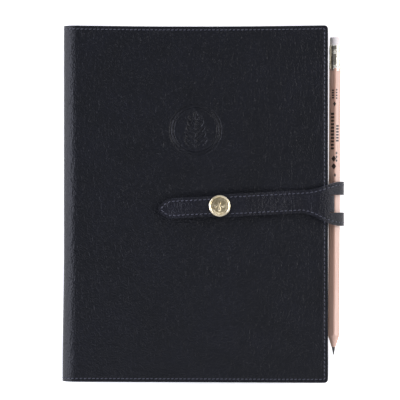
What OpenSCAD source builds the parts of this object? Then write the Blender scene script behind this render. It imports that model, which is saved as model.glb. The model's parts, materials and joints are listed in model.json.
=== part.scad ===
// A5 leather notebook cover with a refill, a snapped strap and a pencil, in millimetres.
// It lies closed on its back: X runs from spine to fore edge, Y along the spine towards
// the head, Z through the thickness. The origin is below the middle of the whole object.

/* [Cover] */
// Closed width, from the spine to the fore edge
cover_w = 161; // [156:0.5:200]
// Height along the spine
cover_h = 217; // [214:0.5:270]
// Radius of the two fore-edge corners
corner_r = 2.2; // [0.5:0.1:6]
// Thickness of the outer leather
leather_t = 1.4; // [1:0.1:2.2]
// Thickness of the lining
lining_t = 0.6; // [0.4:0.1:1.2]
// Thickness of each pocket flap
flap_t = 0.7; // [0.5:0.1:1.2]
// Width of each pocket flap, from the fore edge
flap_w = 84; // [50:1:110]
// Flat stretch in the middle of the rounded spine
spine_flat = 1; // [0.5:0.1:4]

// Height of the pressed mark above the middle of the cover
mark_y = 44.8; // [35:0.2:60]
// Diameter of the pressed mark
mark_d = 32; // [20:1:36]
// Depth of the pressed mark
mark_depth = 0.25; // [0.1:0.05:0.3]

/* [Seams] */
// Distance of the seam from the cut edge
seam_inset = 2.1; // [1.5:0.1:2.5]
// Width of the thread line
thread_w = 0.6; // [0.4:0.05:0.9]
// Height of the thread above the leather
thread_proud = 0.2; // [0.1:0.05:0.4]
// Depth of the groove that the thread lies in
groove_d = 0.3; // [0.1:0.05:0.4]

/* [Refill] */
// Width of a page
page_w = 148; // [130:0.5:150]
// Height of a page
page_h = 210; // [180:0.5:211]
// Thickness of one sewn signature
sig_t = 1.15; // [0.8:0.05:1.6]
// Thickness of the card cover
card_t = 0.3; // [0.2:0.05:0.5]
// Free height between the pages and the pocket flaps
page_gap = 0.3; // [0.2:0.05:1]

/* [Strap] */
// Thickness of each of the two strap plies
ply_t = 1.1; // [0.8:0.05:1.35]
// How far the tongue reaches over the front, from the fore edge
tongue_reach = 103.2; // [85:0.5:120]
// Width of the tongue between its tip and the snap
tip_w = 12.4; // [10:0.2:14]
// Width of the tongue between the snap and the fork
tongue_w = 13.9; // [12:0.2:18]
// Width of the strap where it forks round the pencil
fork_w = 27; // [22:0.2:32]
// Length over which the strap widens to the fork
fork_len = 26; // [18:1:34]
// How far the strap bulges past the fore edge, at least
strap_bulge = 10.2; // [9:0.1:13]
// Width of the middle strip between the two slits
strip_w = 10.2; // [8:0.2:13]
// Lean of the tongue away from the X axis, in degrees
tongue_lean = 3; // [0:0.5:5]
// Length of the strap end sewn to the back
anchor_len = 46; // [35:1:70]

/* [Snap] */
// Distance of the snap from the fore edge
snap_inset = 65.9; // [55:0.5:72]
// Diameter of the snap cap
cap_d = 13.1; // [11:0.1:15]
// Diameter of the socket, stud and rivet flanges
flange_d = 11; // [9:0.1:11.5]
// Diameter of the rivet barrels
barrel_d = 3.4; // [2.5:0.1:4]
// Height of the snap between the leathers
snap_rise = 2.4; // [2.2:0.1:3.2]

/* [Pencil] */
// Overall length of the pencil
pencil_len = 194.2; // [150:0.2:200]
// Distance of the eraser's end from the middle of the strap
pencil_head = 101.8; // [70:0.2:120]
// Width of the six-sided barrel across its flats
pencil_across = 6.8; // [5.6:0.1:8.2]
// Diameter of the lead
lead_d = 2.2; // [1.8:0.1:3]
// Length of the sharpened wood
wood_cone = 8.6; // [5:0.2:14]
// Length of bare lead
lead_cone = 4.8; // [3:0.2:7]
// Length of the ferrule
ferrule_len = 15.3; // [10:0.1:18]
// Length of eraser that shows
eraser_len = 5.2; // [3:0.1:9]
// Lean of the pencil in the strap, in degrees
pencil_lean = 0.3; // [0:0.1:0.5]

/* [Hidden] */
$fn = 64;
SIGNATURES = 10;
TURNED = 2; // signatures that turn with the first leaves
slack = 0.3; // clearance round the pencil and in the strap
touch = 0.1; // gap between two pieces that only rest together
strap_gap = 0.3; // gap between the strap and the front
joined = 0.02; // how far two stretches of one ply run into each other
fold_gap = 0.3; // gap across a fold line of the leather
wide = 400; // longer than any piece
sig_names = [for (i = [1:SIGNATURES]) str("signature_", i < 10 ? "0" : "", i)];

// stack, from the strap end under the back up to the strap over the front
strap_t = 2 * ply_t;
stack_t = leather_t + lining_t + card_t + flap_t;
z_back = strap_t;
z_pages = z_back + stack_t + touch;
block_t = SIGNATURES * sig_t + touch;
z_top = z_pages + block_t + page_gap + stack_t;
z_out = z_top + strap_gap + strap_t;
z_mid = z_out / 2;

// plan
x_spine = -cover_w / 2;
x_fore = cover_w / 2;
spine_r = (z_top - z_back - spine_flat) / 2;
fold_front = [x_spine + spine_r, z_top - spine_r];
fold_back = [x_spine + spine_r, z_back + spine_r];
x_bind = fold_back.x - 0.3 * spine_r;

// strap
pencil_r = pencil_across / 2 / cos(30);
hold_r = pencil_r + slack;
// the middle strip passes between the pocket flaps, so a thicker pencil bulges further out
flap_room = (z_top - z_back) / 2 - stack_t - 0.4; // and its bend stays clear of them
strip_x = sqrt(max(0, pow(hold_r + strap_t, 2) - pow(flap_room, 2)));
bulge = max(strap_bulge, strip_x + pencil_across / 2 + slack + strap_t);
x_hinge = x_fore + slack;
x_out = x_fore + bulge;
band_r = min(x_out - x_hinge, z_mid - 0.5); // bend radius of the outer bands
x_tip = x_fore - tongue_reach;
x_snap = x_fore - snap_inset;
x_fork = x_fore - 0.63 * fork_len;
x_anchor = x_fore - anchor_len;
tip_len = 9;
root_l = 0.8; // length of the uncut strap before the slits
slit_gap = 0.3;
strap_seam = 1.9;

// pencil, held between the outer bands and the middle strip
x_pencil = x_out - strap_t - slack - pencil_across / 2;
hold = [x_pencil, z_mid];
// the middle strip's bend, a little tighter than the widest that still clears the pencil
reach = hold - [x_hinge, z_out];
strip_r = 0.9 * (reach * reach - hold_r * hold_r) / 2 / (hold_r - reach.y);
bend = [x_hinge, z_out - strip_r];
between = hold - bend;
leave = atan2(between.y, between.x) + acos((strip_r + hold_r) / norm(between));

function smooth(t) = let(u = min(1, max(0, t))) u * u * (3 - 2 * u);
function polar(r, a) = r * [cos(a), sin(a)];
function y_centre(x) =
    let(top = (x_fork - x_snap) * tan(tongue_lean) / 2)
    x < x_fork ? top - (x_fork - x) * tan(tongue_lean)
               : top * (1 - smooth((x - x_fork) / (x_fore - x_fork)));
function body_half(x) = tip_w / 2
    + (tongue_w - tip_w) / 2 * smooth((x - x_snap + 8) / 16)
    + (fork_w - tongue_w) / 2 * smooth((x - x_fork) / fork_len);
function round_end(s, inset) = s >= tip_len - inset ? 1
    : pow(max(0, 1 - pow(1 - s / (tip_len - inset), 2)), 0.72);
function tongue_half(x, inset) =
    (body_half(x) - inset) * round_end(x - x_tip - inset, inset);
function anchor_half(x, inset) =
    (body_half(max(x, x_fork - fork_len)) - inset) * round_end(x - x_anchor - inset, inset);
function lift(x) = snap_rise
    * smooth((x_fork - x) / (x_fork - x_snap - cap_d))
    * smooth((x - x_tip) / (x_snap - x_tip - cap_d));

// ---- helpers ----

// Moves the cover's own middle so that the whole object is centred on the origin.
module place() translate([-bulge / 2, 0, 0]) children();

// Extrudes a section drawn in X and Z along Y, centred.
module along_y(l) rotate([90, 0, 0]) linear_extrude(l, center = true) children();

module plan_slab() translate([0, 0, -1]) linear_extrude(z_out + 20) children();

// Plan of the cover drawn in by an inset, open past the spine.
module cover_plan(inset = 0) {
    r = max(corner_r - inset, 0.2);
    x = x_fore - inset;
    y = cover_h / 2 - inset;
    translate([-wide, -y]) square([wide + x - r, 2 * y]);
    translate([x - 2 * r, r - y]) square([2 * r, 2 * (y - r)]);
    for (s = [-1, 1]) translate([x - r, s * (y - r)]) circle(r);
}

module seam_plan(w) difference() {
    cover_plan(seam_inset - w / 2);
    cover_plan(seam_inset + w / 2);
}

// The closed cover's section, drawn in by an inset from its outer face.
module wrap_outline(inset) {
    r = spine_r - inset;
    for (c = [fold_front, fold_back]) translate(c) circle(r);
    translate([fold_back.x - r, fold_back.y]) square([2 * r, spine_flat]);
    translate([fold_back.x, z_back + inset]) square([cover_w + 20, z_top - z_back - 2 * inset]);
}

// Section between two insets that belongs to one of the three panels.
module wrap_section(panel, inset, t) intersection() {
    difference() {
        wrap_outline(inset);
        wrap_outline(inset + t);
    }
    panel_zone(panel);
}

module panel_zone(panel) {
    l = 3 * spine_r;
    off = fold_gap / 2 * [cos(45), sin(45)];
    if (panel == "spine")
        translate([-off.x * 2, 0])
            polygon([fold_front, fold_front + [-l, l], fold_back - [l, l], fold_back]);
    if (panel == "front")
        translate(off)
            polygon([fold_front, fold_front + [-l, l], [wide, z_top + l], [wide, z_mid],
                [fold_front.x, z_mid]]);
    if (panel == "back")
        translate([off.x, -off.y])
            polygon([fold_back, fold_back - [l, l], [wide, -l], [wide, z_mid],
                [fold_back.x, z_mid]]);
}

module sector(r1, r2, a1, a2) difference() {
    intersection() {
        circle(r2);
        polygon([[0, 0], polar(3 * r2, a1), polar(3 * r2, (2 * a1 + a2) / 3),
            polar(3 * r2, (a1 + 2 * a2) / 3), polar(3 * r2, a2)]);
    }
    if (r1 > 0) circle(r1);
}

// ---- cover ----

module cover_piece(panel, inset, t) intersection() {
    along_y(cover_h) wrap_section(panel, inset, t);
    plan_slab() cover_plan();
}

module seam(panel, inset, t, w) intersection() {
    along_y(cover_h) wrap_section(panel, inset, t);
    plan_slab() seam_plan(w);
}

module leather(panel) color("#202127") difference() {
    cover_piece(panel, 0, leather_t);
    seam(panel, -1, 1 + groove_d, thread_w + touch);
    if (panel == "front") {
        rivet_hole(barrel_d / 2 + fit);
        translate([0, mark_y, z_top - mark_depth]) linear_extrude(1) mark();
    }
}

// A sprig of leaves in a ring, pressed into the front.
module mark() {
    r = mark_d / 2;
    difference() {
        circle(r);
        circle(0.93 * r);
    }
    translate([-0.02 * r, -0.75 * r]) square([0.04 * r, 1.2 * r]);
    for (k = [0:2], s = [-1, 1])
        translate([0, (0.36 * k - 0.55) * r]) rotate(90 - s * 48) leaf(0.52 * r);
    translate([0, 0.3 * r]) rotate(90) leaf(0.5 * r);
}

module leaf(l) translate([l / 2, 0]) intersection_for (s = [-1, 1])
    translate([0, s * 0.62 * l]) circle(sqrt(0.25 + 0.3844) * l);

module lining(panel) color("#2b2a2e") difference() {
    cover_piece(panel, leather_t, lining_t);
    if (panel == "front") rivet_hole(flange_d / 2 + slack);
}

module rivet_hole(r)
    translate([snap_x, snap_y, z_top - stack_t]) cylinder(r = r, h = stack_t + 1);

// Flat flap sewn round three sides, with the card's space left open towards the spine.
module pocket_flap(front) {
    z_flap = front ? z_top - stack_t : z_back + stack_t - flap_t - card_t;
    color("#24252b") difference() {
        intersection() {
            translate([x_fore - flap_w, -cover_h / 2, z_flap]) cube([flap_w, cover_h, flap_t + card_t]);
            plan_slab() cover_plan();
        }
        translate([x_fore - flap_w - 1, -page_h / 2 - 0.5, front ? z_flap + flap_t : z_flap - 1])
            cube([x_bind + page_w + 1 - x_fore + flap_w + 1, page_h + 1, card_t + 1]);
    }
}

module seam_thread(panel) color("#17171a") {
    seam(panel, -thread_proud, thread_proud + groove_d, thread_w);
    // the same thread seen inside, on the lining and on the flap
    if (panel == "spine") seam(panel, leather_t + lining_t, thread_proud, thread_w);
    else {
        intersection() {
            seam(panel, leather_t + lining_t, thread_proud, thread_w);
            translate([-wide, -wide, 0]) cube([wide + x_fore - flap_w - touch, 2 * wide, z_out]);
        }
        intersection() {
            seam(panel, stack_t, thread_proud, thread_w);
            translate([x_fore - flap_w + touch, -wide, 0]) cube([wide, 2 * wide, z_out]);
        }
    }
}

// ---- refill ----

module refill_card(panel) color("#3a3b40") intersection() {
    along_y(page_h + 0.4) wrap_section(panel, leather_t + lining_t, card_t);
    translate([-wide, -wide, 0]) cube([wide + x_bind + page_w + 0.5, 2 * wide, z_out]);
}

// One folded and sewn gathering of pages, with its fold at the spine.
module signature(i) {
    z = z_pages + (i - 1) * sig_t + (i > SIGNATURES - TURNED ? touch : 0);
    color("#efe9da") along_y(page_h) {
        translate([x_bind + sig_t / 2, z + sig_t / 2]) circle(sig_t / 2);
        translate([x_bind + sig_t / 2, z]) square([page_w - sig_t / 2, sig_t]);
    }
}

module refill_binding() color("#d8d2c2")
    translate([x_bind - 0.35, -page_h / 2 + 5, z_pages])
        cube([0.3, page_h - 10, (SIGNATURES - TURNED - 1) * sig_t]);

// ---- strap ----

// Plan of the strap over the front, or under the back, drawn in by an inset.
module strap_plan(front, inset = 0) {
    x_end = front ? x_tip : x_anchor;
    round_xs = [for (k = [0:12]) x_end + inset + (tip_len - inset) * pow(k / 12, 1.6)];
    body_xs = [for (k = [1:36]) x_end + tip_len + (x_out + 1 - x_end - tip_len) * k / 36];
    xs = concat(round_xs, body_xs);
    half = [for (x = xs) front ? tongue_half(x, inset) : anchor_half(x, inset)];
    mid = [for (x = xs) front ? y_centre(x) : 0];
    n = len(xs);
    polygon(concat(
        [for (k = [0:n - 1]) [xs[k], mid[k] - half[k]]],
        [for (k = [n - 1:-1:1]) [xs[k], mid[k] + half[k]]]));
}

// Section of the tongue between two heights above its underside.
module tongue_section(from, to) {
    xs = [for (k = [0:40]) x_tip + (x_hinge - touch - x_tip) * k / 40];
    polygon(concat(
        [for (x = xs) [x, z_top + strap_gap + lift(x) + from]],
        [for (k = [40:-1:0]) [xs[k], z_top + strap_gap + lift(xs[k]) + to]]));
}

module tongue_ply(from, to) difference() {
    intersection() {
        along_y(fork_w + 20) tongue_section(from, to);
        plan_slab() strap_plan(true);
    }
    snap_at() translate([0, 0, -1]) cylinder(r = barrel_d / 2 + fit, h = strap_t + 5);
}

// Section of the outer bands round the pencil, between two depths below the outer face.
module band_section(from, to) difference() {
    band_outline(from);
    band_outline(to);
}

module band_outline(inset) {
    x_root = x_hinge + touch;
    x_bend = x_out - band_r;
    for (z = [band_r, z_out - band_r]) translate([x_bend, z]) intersection() {
        circle(band_r - inset);
        translate([x_root - x_bend, -band_r]) square(2 * band_r);
    }
    translate([x_root, band_r]) square([x_out - inset - x_root, z_out - 2 * band_r]);
    if (x_bend > x_root)
        translate([x_root, inset]) square([x_bend - x_root, z_out - 2 * inset]);
}

// Section of the middle strip, which dips in behind the pencil.
module strip_section(from, to) for (side = [0, 1])
    translate([0, side * z_out]) mirror([0, side]) {
        translate(bend) intersection() {
            sector(strip_r - to, strip_r - from, leave, 90);
            translate([touch, -wide / 2]) square(wide);
        }
        translate(bend + polar(strip_r - to, leave)) rotate(leave - 90) translate([-joined, 0])
            square([sqrt(pow(norm(between), 2) - pow(strip_r + hold_r, 2)) + 2 * joined, to - from]);
        translate(hold) sector(hold_r + from, hold_r + to, leave + 180, 180.1);
    }

module loop_ply(from, to) {
    difference() {
        intersection() {
            along_y(fork_w + 20) band_section(from, to);
            plan_slab() strap_plan(true);
        }
        translate([x_hinge + root_l, -strip_w / 2 - slit_gap, -1])
            cube([wide, strip_w + 2 * slit_gap, z_out + 2]);
    }
    along_y(strip_w) strip_section(from, to);
}

module anchor_ply(from, to) intersection() {
    translate([x_anchor, -fork_w, from]) cube([x_hinge + root_l - x_anchor, 2 * fork_w, to - from]);
    plan_slab() strap_plan(false);
}

// The sewn end keeps a groove for its own thread below and for the cover's thread above.
module base_ply(from, to) difference() {
    union() {
        loop_ply(from, to);
        anchor_ply(from, to);
    }
    anchor_seam(thread_w + touch);
    seam("back", -1, 1, thread_w + touch);
}

module anchor_seam(w) intersection() {
    linear_extrude(groove_d) strap_seam_plan(false, w);
    translate([-wide, -wide, -1]) cube([wide + x_hinge - 1, 2 * wide, 2]);
}

module strap_seam_plan(front, w = thread_w) difference() {
    strap_plan(front, strap_seam - w / 2);
    strap_plan(front, strap_seam + w / 2);
}

module strap_thread(front) color("#17171a") {
    if (front) difference() {
        intersection() {
            along_y(fork_w + 20) tongue_section(strap_t, strap_t + thread_proud);
            plan_slab() strap_seam_plan(true);
            translate([-wide, -wide, 0]) cube([wide + x_hinge - 1, 2 * wide, 2 * z_out]);
        }
        snap_at() cylinder(r = cap_d / 2 + touch, h = strap_t + 2);
    }
    else {
        anchor_seam(thread_w);
        intersection() {
            along_y(fork_w + 20) band_section(-thread_proud, 0);
            plan_slab() strap_seam_plan(true);
            translate([x_hinge + 1, -wide, thread_proud]) cube([wide, 2 * wide, z_out]);
        }
    }
}

// ---- snap ----

snap_x = x_snap;
snap_y = y_centre(x_snap);
snap_z = z_top + strap_gap + snap_rise; // underside of the tongue at the snap
cap_rim_r = 0.55; // radius of the cap's rolled rim
cap_dome_h = 0.45;
flange_h = 0.4; // thickness of the flanges of the stud and of the rivet
upset_h = 0.25; // thickness of the cap's barrel where it is spread over the socket
socket_h = 1.9;
socket_top = 0.4; // thickness of the socket's closed end
stud_r = 2.3; // radius of the stud's neck
stud_bead = 0.35; // how far its bead stands out
spring_wire = 0.25; // radius of the ring spring's wire
spring_r = stud_r + 0.3 + spring_wire; // middle radius of the ring spring
spring_h = 0.6; // height of the spring over the socket's mouth
fit = 0.05; // clearance round a barrel
stud_h = snap_z - socket_h + spring_h - z_top; // height of the bead over the front

module snap_at() translate([snap_x, snap_y, snap_z]) children();

// Domed cap with a rolled rim, and the barrel that holds it through the strap.
module snap_cap() color("#d9c27a") snap_at() {
    rim_x = cap_d / 2 - cap_rim_r;
    dome_x = rim_x - cap_rim_r;
    dome_z = strap_t + 0.95;
    rotate_extrude() polygon(concat(
        [[0, strap_t], [cap_d / 2 - 0.3, strap_t]],
        [for (a = [-60:20:60]) [rim_x, strap_t + 0.6] + polar(cap_rim_r, a)],
        [[dome_x, dome_z]],
        [for (k = [1:5]) [dome_x * (1 - k / 5), dome_z + cap_dome_h * smooth(k / 5)]]));
    upset_z = -socket_top - upset_h - fit;
    translate([0, 0, upset_z]) cylinder(r = barrel_d / 2, h = strap_t + 0.5 - upset_z);
    translate([0, 0, upset_z]) cylinder(r = barrel_d / 2 + 0.6, h = upset_h);
}

module snap_socket() color("#b9a05c") snap_at() difference() {
    translate([0, 0, -socket_h]) cylinder(r = flange_d / 2, h = socket_h);
    translate([0, 0, -socket_h - 1]) cylinder(r = spring_r + fit, h = socket_h + 1 - socket_top);
    translate([0, 0, spring_h - socket_h - spring_wire - fit])
        cylinder(r = spring_r + spring_wire + 0.15, h = 2 * (spring_wire + fit));
    translate([0, 0, -1]) cylinder(r = barrel_d / 2 + fit, h = 2);
}

// Open wire ring that grips the stud under its bead.
module snap_spring() color("#8d8f93") snap_at() translate([0, 0, spring_h - socket_h])
    difference() {
        rotate_extrude() translate([spring_r, 0]) circle(spring_wire, $fn = 24);
        translate([0, -0.5, -1]) cube([5, 1, 2]);
    }

// Stud that the socket snaps onto.
module snap_stud() color("#b9a05c") translate([snap_x, snap_y, z_top]) difference() {
    union() {
        cylinder(r = flange_d / 2 - 0.4, h = flange_h);
        cylinder(r = stud_r, h = stud_h);
        translate([0, 0, stud_h]) cylinder(r1 = stud_r, r2 = stud_r + stud_bead, h = 0.25);
        translate([0, 0, stud_h + 0.25]) cylinder(r1 = stud_r + stud_bead, r2 = stud_r, h = 0.2);
    }
    translate([0, 0, -1]) cylinder(r = barrel_d / 2 + fit, h = 4);
}

module snap_rivet() color("#b9a05c") translate([snap_x, snap_y, z_top - leather_t]) {
    translate([0, 0, -flange_h]) cylinder(r = flange_d / 2, h = flange_h);
    cylinder(r = barrel_d / 2, h = leather_t + stud_h + 0.3);
}

// ---- pencil ----

module pencil_at() translate([x_pencil, 0, z_mid]) rotate([0, 0, -pencil_lean])
    translate([0, pencil_head - pencil_len, 0]) rotate([-90, 0, 0]) children();

ferrule_z = pencil_len - eraser_len - ferrule_len;
ferrule_r = pencil_across / 2 + 0.15;
ferrule_wall = 0.3;
tenon_len = 7;

module pencil_barrel() color("#e2b08e") pencil_at() difference() {
    union() {
        intersection() {
            translate([0, 0, lead_cone]) rotate([0, 0, 30])
                cylinder(r = pencil_r, h = ferrule_z - lead_cone, $fn = 6);
            translate([0, 0, lead_cone]) union() {
                cylinder(r1 = lead_d / 2 + 0.15, r2 = pencil_r, h = wood_cone);
                translate([0, 0, wood_cone]) cylinder(r = pencil_r + 1, h = pencil_len);
            }
        }
        translate([0, 0, ferrule_z - 1])
            cylinder(r = ferrule_r - ferrule_wall - 0.02, h = tenon_len + 1);
    }
    translate([0, 0, -1]) cylinder(d = lead_d, h = ferrule_z + tenon_len - 1);
}

module pencil_lead() color("#4a4a4e") pencil_at() {
    cylinder(r1 = 0.2, r2 = lead_d / 2, h = lead_cone);
    translate([0, 0, lead_cone]) cylinder(d = lead_d, h = ferrule_z + tenon_len - 2 - lead_cone);
}

module pencil_ferrule() color("#cfc7a8") pencil_at() translate([0, 0, ferrule_z]) difference() {
    union() {
        cylinder(r = ferrule_r, h = ferrule_len);
        for (k = [1.4, 2.6, 10.4, 11.6]) translate([0, 0, k]) cylinder(r = ferrule_r + 0.15, h = 0.6);
    }
    translate([0, 0, -1]) cylinder(r = ferrule_r - ferrule_wall, h = ferrule_len + 2);
}

module pencil_eraser() color("#f0ebe8") pencil_at() translate([0, 0, ferrule_z + tenon_len + 0.2]) {
    r = ferrule_r - ferrule_wall - 0.02;
    l = ferrule_len - tenon_len - 0.2 + eraser_len;
    cylinder(r = r, h = l - 0.6);
    translate([0, 0, l - 0.6]) cylinder(r1 = r, r2 = r - 0.6, h = 0.6);
}

// ---- nodes ----

place() {
    leather("front");  // front_leather
    leather("spine");  // spine_leather
    leather("back");  // back_leather
    lining("front");  // front_lining
    lining("spine");  // spine_lining
    lining("back");  // back_lining
    pocket_flap(true);  // front_pocket_flap
    pocket_flap(false);  // back_pocket_flap
    seam_thread("front");  // front_seam_thread
    seam_thread("spine");  // spine_seam_thread
    seam_thread("back");  // back_seam_thread
    refill_card("front");  // refill_front_card
    refill_card("spine");  // refill_spine_card
    refill_card("back");  // refill_back_card
    refill_binding();
    for (i = [1:SIGNATURES])
        signature(i);
    color("#202127") base_ply(0, ply_t);  // strap_base_face
    color("#2b2a2e") base_ply(ply_t, strap_t);  // strap_base_backing
    strap_thread(false);  // strap_base_thread
    color("#202127") tongue_ply(ply_t, strap_t);  // strap_tongue_face
    color("#2b2a2e") tongue_ply(0, ply_t);  // strap_tongue_backing
    strap_thread(true);  // strap_tongue_thread
    snap_cap();
    snap_socket();
    snap_spring();
    snap_stud();
    snap_rivet();
    pencil_barrel();
    pencil_lead();
    pencil_ferrule();
    pencil_eraser();
}
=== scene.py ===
import json
import math
import random
from functools import partial

import bpy
from mathutils import Matrix, Vector


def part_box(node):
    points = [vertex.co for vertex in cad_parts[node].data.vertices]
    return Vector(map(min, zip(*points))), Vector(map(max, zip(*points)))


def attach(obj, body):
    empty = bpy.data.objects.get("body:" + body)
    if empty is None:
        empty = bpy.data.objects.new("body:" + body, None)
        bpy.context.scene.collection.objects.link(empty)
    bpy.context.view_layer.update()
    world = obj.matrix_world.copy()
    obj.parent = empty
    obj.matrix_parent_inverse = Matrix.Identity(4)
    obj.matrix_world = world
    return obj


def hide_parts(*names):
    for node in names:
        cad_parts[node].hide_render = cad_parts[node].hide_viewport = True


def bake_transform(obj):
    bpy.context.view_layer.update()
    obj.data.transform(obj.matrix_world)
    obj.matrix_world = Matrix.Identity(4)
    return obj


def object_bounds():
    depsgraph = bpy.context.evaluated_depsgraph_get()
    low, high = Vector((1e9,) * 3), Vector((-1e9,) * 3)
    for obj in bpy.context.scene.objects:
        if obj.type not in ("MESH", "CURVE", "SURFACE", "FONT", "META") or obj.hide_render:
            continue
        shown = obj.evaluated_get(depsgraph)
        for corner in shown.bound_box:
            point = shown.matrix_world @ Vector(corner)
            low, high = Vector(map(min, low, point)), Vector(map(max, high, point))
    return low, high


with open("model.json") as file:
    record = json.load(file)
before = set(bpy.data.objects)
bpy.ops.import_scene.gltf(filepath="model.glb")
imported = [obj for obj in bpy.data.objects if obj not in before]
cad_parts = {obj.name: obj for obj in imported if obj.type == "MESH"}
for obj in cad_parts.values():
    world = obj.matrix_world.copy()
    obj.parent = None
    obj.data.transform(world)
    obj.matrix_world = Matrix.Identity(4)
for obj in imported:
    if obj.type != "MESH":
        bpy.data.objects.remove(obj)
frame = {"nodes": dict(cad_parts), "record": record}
bpy.ops.object.select_all(action="DESELECT")
cadLow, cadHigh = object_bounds()
mm = 0.001


def middle(node):
    low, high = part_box(node)
    return (low + high) / 2


# what the frame says about the closed cover
leatherLow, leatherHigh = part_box("front_leather")
cover = {
    "left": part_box("spine_leather")[0].x,
    "right": leatherHigh.x,
    "top": leatherHigh.z,
    "bottom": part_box("back_leather")[0].z,
    "halfHeight": leatherHigh.y,
    "leather": leatherHigh.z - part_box("front_lining")[1].z,
    "lining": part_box("front_lining")[1].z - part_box("refill_front_card")[1].z,
    "card": 0.3 * mm,
    "flap": 0.7 * mm,
    "flapLeft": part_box("front_pocket_flap")[0].x,
    "spineFlat": 1.0 * mm,
    "corner": 2.2 * mm,
    "seamInset": 2.1 * mm,
    "grooveDepth": 0.26 * mm,
    "meshPitch": 1.8 * mm,
}
cover["middle"] = (cover["left"] + cover["right"]) / 2
cover["midZ"] = (cover["top"] + cover["bottom"]) / 2
cover["spineR"] = (cover["top"] - cover["bottom"] - cover["spineFlat"]) / 2


def activate(obj):
    bpy.ops.object.select_all(action="DESELECT")
    obj.select_set(True)
    bpy.context.view_layer.objects.active = obj


def applyModifier(obj, kind, **settings):
    activate(obj)
    modifier = obj.modifiers.new(kind, kind)
    for key, value in settings.items():
        setattr(modifier, key, value)
    bpy.ops.object.modifier_apply(modifier=modifier.name)


def smoothStep(t):
    t = min(1.0, max(0.0, t))
    return t * t * (3 - 2 * t)


def lineUp(low, high, pitch, edge=(), bothEnds=True):
    # mesh lines from low to high, set close together beside the ends
    start = [low + d for d in edge] if bothEnds else [low]
    end = [high - d for d in reversed(edge)]
    first, last = start[-1] if start else low, end[0] if end else high
    count = max(2, round((last - first) / pitch))
    inner = [first + (last - first) * k / count for k in range(1, count)]
    return start + inner + end


def addGrid(name, columns, rows, place):
    bpy.ops.mesh.primitive_grid_add(
        x_subdivisions=columns - 1, y_subdivisions=rows - 1, size=1, location=(0, 0, 0)
    )
    obj = bpy.context.object
    obj.name = obj.data.name = name
    for vertex in obj.data.vertices:
        vertex.co = place(vertex.index % columns, vertex.index // columns)
    return obj


def editAll(obj, *steps):
    activate(obj)
    bpy.ops.object.mode_set(mode="EDIT")
    bpy.ops.mesh.select_all(action="SELECT")
    for step in steps:
        step()
    bpy.ops.object.mode_set(mode="OBJECT")


def mergeDoubles():
    bpy.ops.mesh.remove_doubles(threshold=0.00001)


def facesOut():
    bpy.ops.mesh.normals_make_consistent(inside=False)


def joinObjects(name, parts):
    activate(parts[0])
    for part in parts:
        part.select_set(True)
    bpy.ops.object.join()
    joined = bpy.context.object
    joined.name = joined.data.name = name
    return joined


def finishShell(obj, thickness, bevel, materials, segments=2):
    for material in materials:
        obj.data.materials.append(material)
    rim = 1 if len(materials) > 1 else 0
    applyModifier(
        obj, "SOLIDIFY", thickness=thickness, offset=-1, material_offset_rim=rim
    )
    if bevel:
        applyModifier(
            obj,
            "BEVEL",
            width=bevel,
            segments=segments,
            limit_method="ANGLE",
            angle_limit=math.radians(52),
        )
    activate(obj)
    bpy.ops.object.shade_smooth_by_angle(angle=math.radians(48))
    return obj


def spinProfile(name, profile, steps=64):
    # turns a list of (radius, height) about Z
    mesh = bpy.data.meshes.new(name)
    points = [(r, 0, z) for r, z in profile]
    mesh.from_pydata(points, [(k, k + 1) for k in range(len(points) - 1)], [])
    obj = bpy.data.objects.new(name, mesh)
    bpy.context.scene.collection.objects.link(obj)

    def turn():
        bpy.ops.mesh.spin(
            steps=steps, angle=2 * math.pi, center=(0, 0, 0), axis=(0, 0, 1)
        )
        bpy.ops.mesh.select_all(action="SELECT")

    editAll(obj, turn, mergeDoubles, facesOut)
    activate(obj)
    bpy.ops.object.shade_smooth_by_angle(angle=math.radians(40))
    return obj


def putOn(obj, body, slot, *nodes):
    if body:
        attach(obj, body)
    if nodes:
        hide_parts(*nodes)


def linearColour(hexCode):
    channels = [int(hexCode[k : k + 2], 16) / 255 for k in (1, 3, 5)]
    return [
        c / 12.92 if c <= 0.04045 else ((c + 0.055) / 1.055) ** 2.4 for c in channels
    ] + [1.0]


def newMaterial(name):
    material = bpy.data.materials.new(name)
    material.use_nodes = True
    shader = material.node_tree.nodes["Principled BSDF"]
    return material, shader


# adds one node to a material or the world and returns the output asked for; a setting names
# a socket, gives its number or names a property, and an output given as a value is linked
def addNode(owner, kind, settings=None, output=0):
    tree = owner.node_tree
    node = tree.nodes.new("ShaderNode" + kind)
    for key, value in (settings or {}).items():
        if isinstance(key, str) and key not in node.inputs.keys():
            setattr(node, key, value)
            continue
        socket = node.inputs[key]
        if isinstance(value, bpy.types.NodeSocket):
            tree.links.new(value, socket)
        elif isinstance(value, str):
            socket.default_value = linearColour(value)
        else:
            socket.default_value = value
    return node.outputs[output]


def feed(owner, node, socket, source):
    owner.node_tree.links.new(source, node.inputs[socket])


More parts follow.
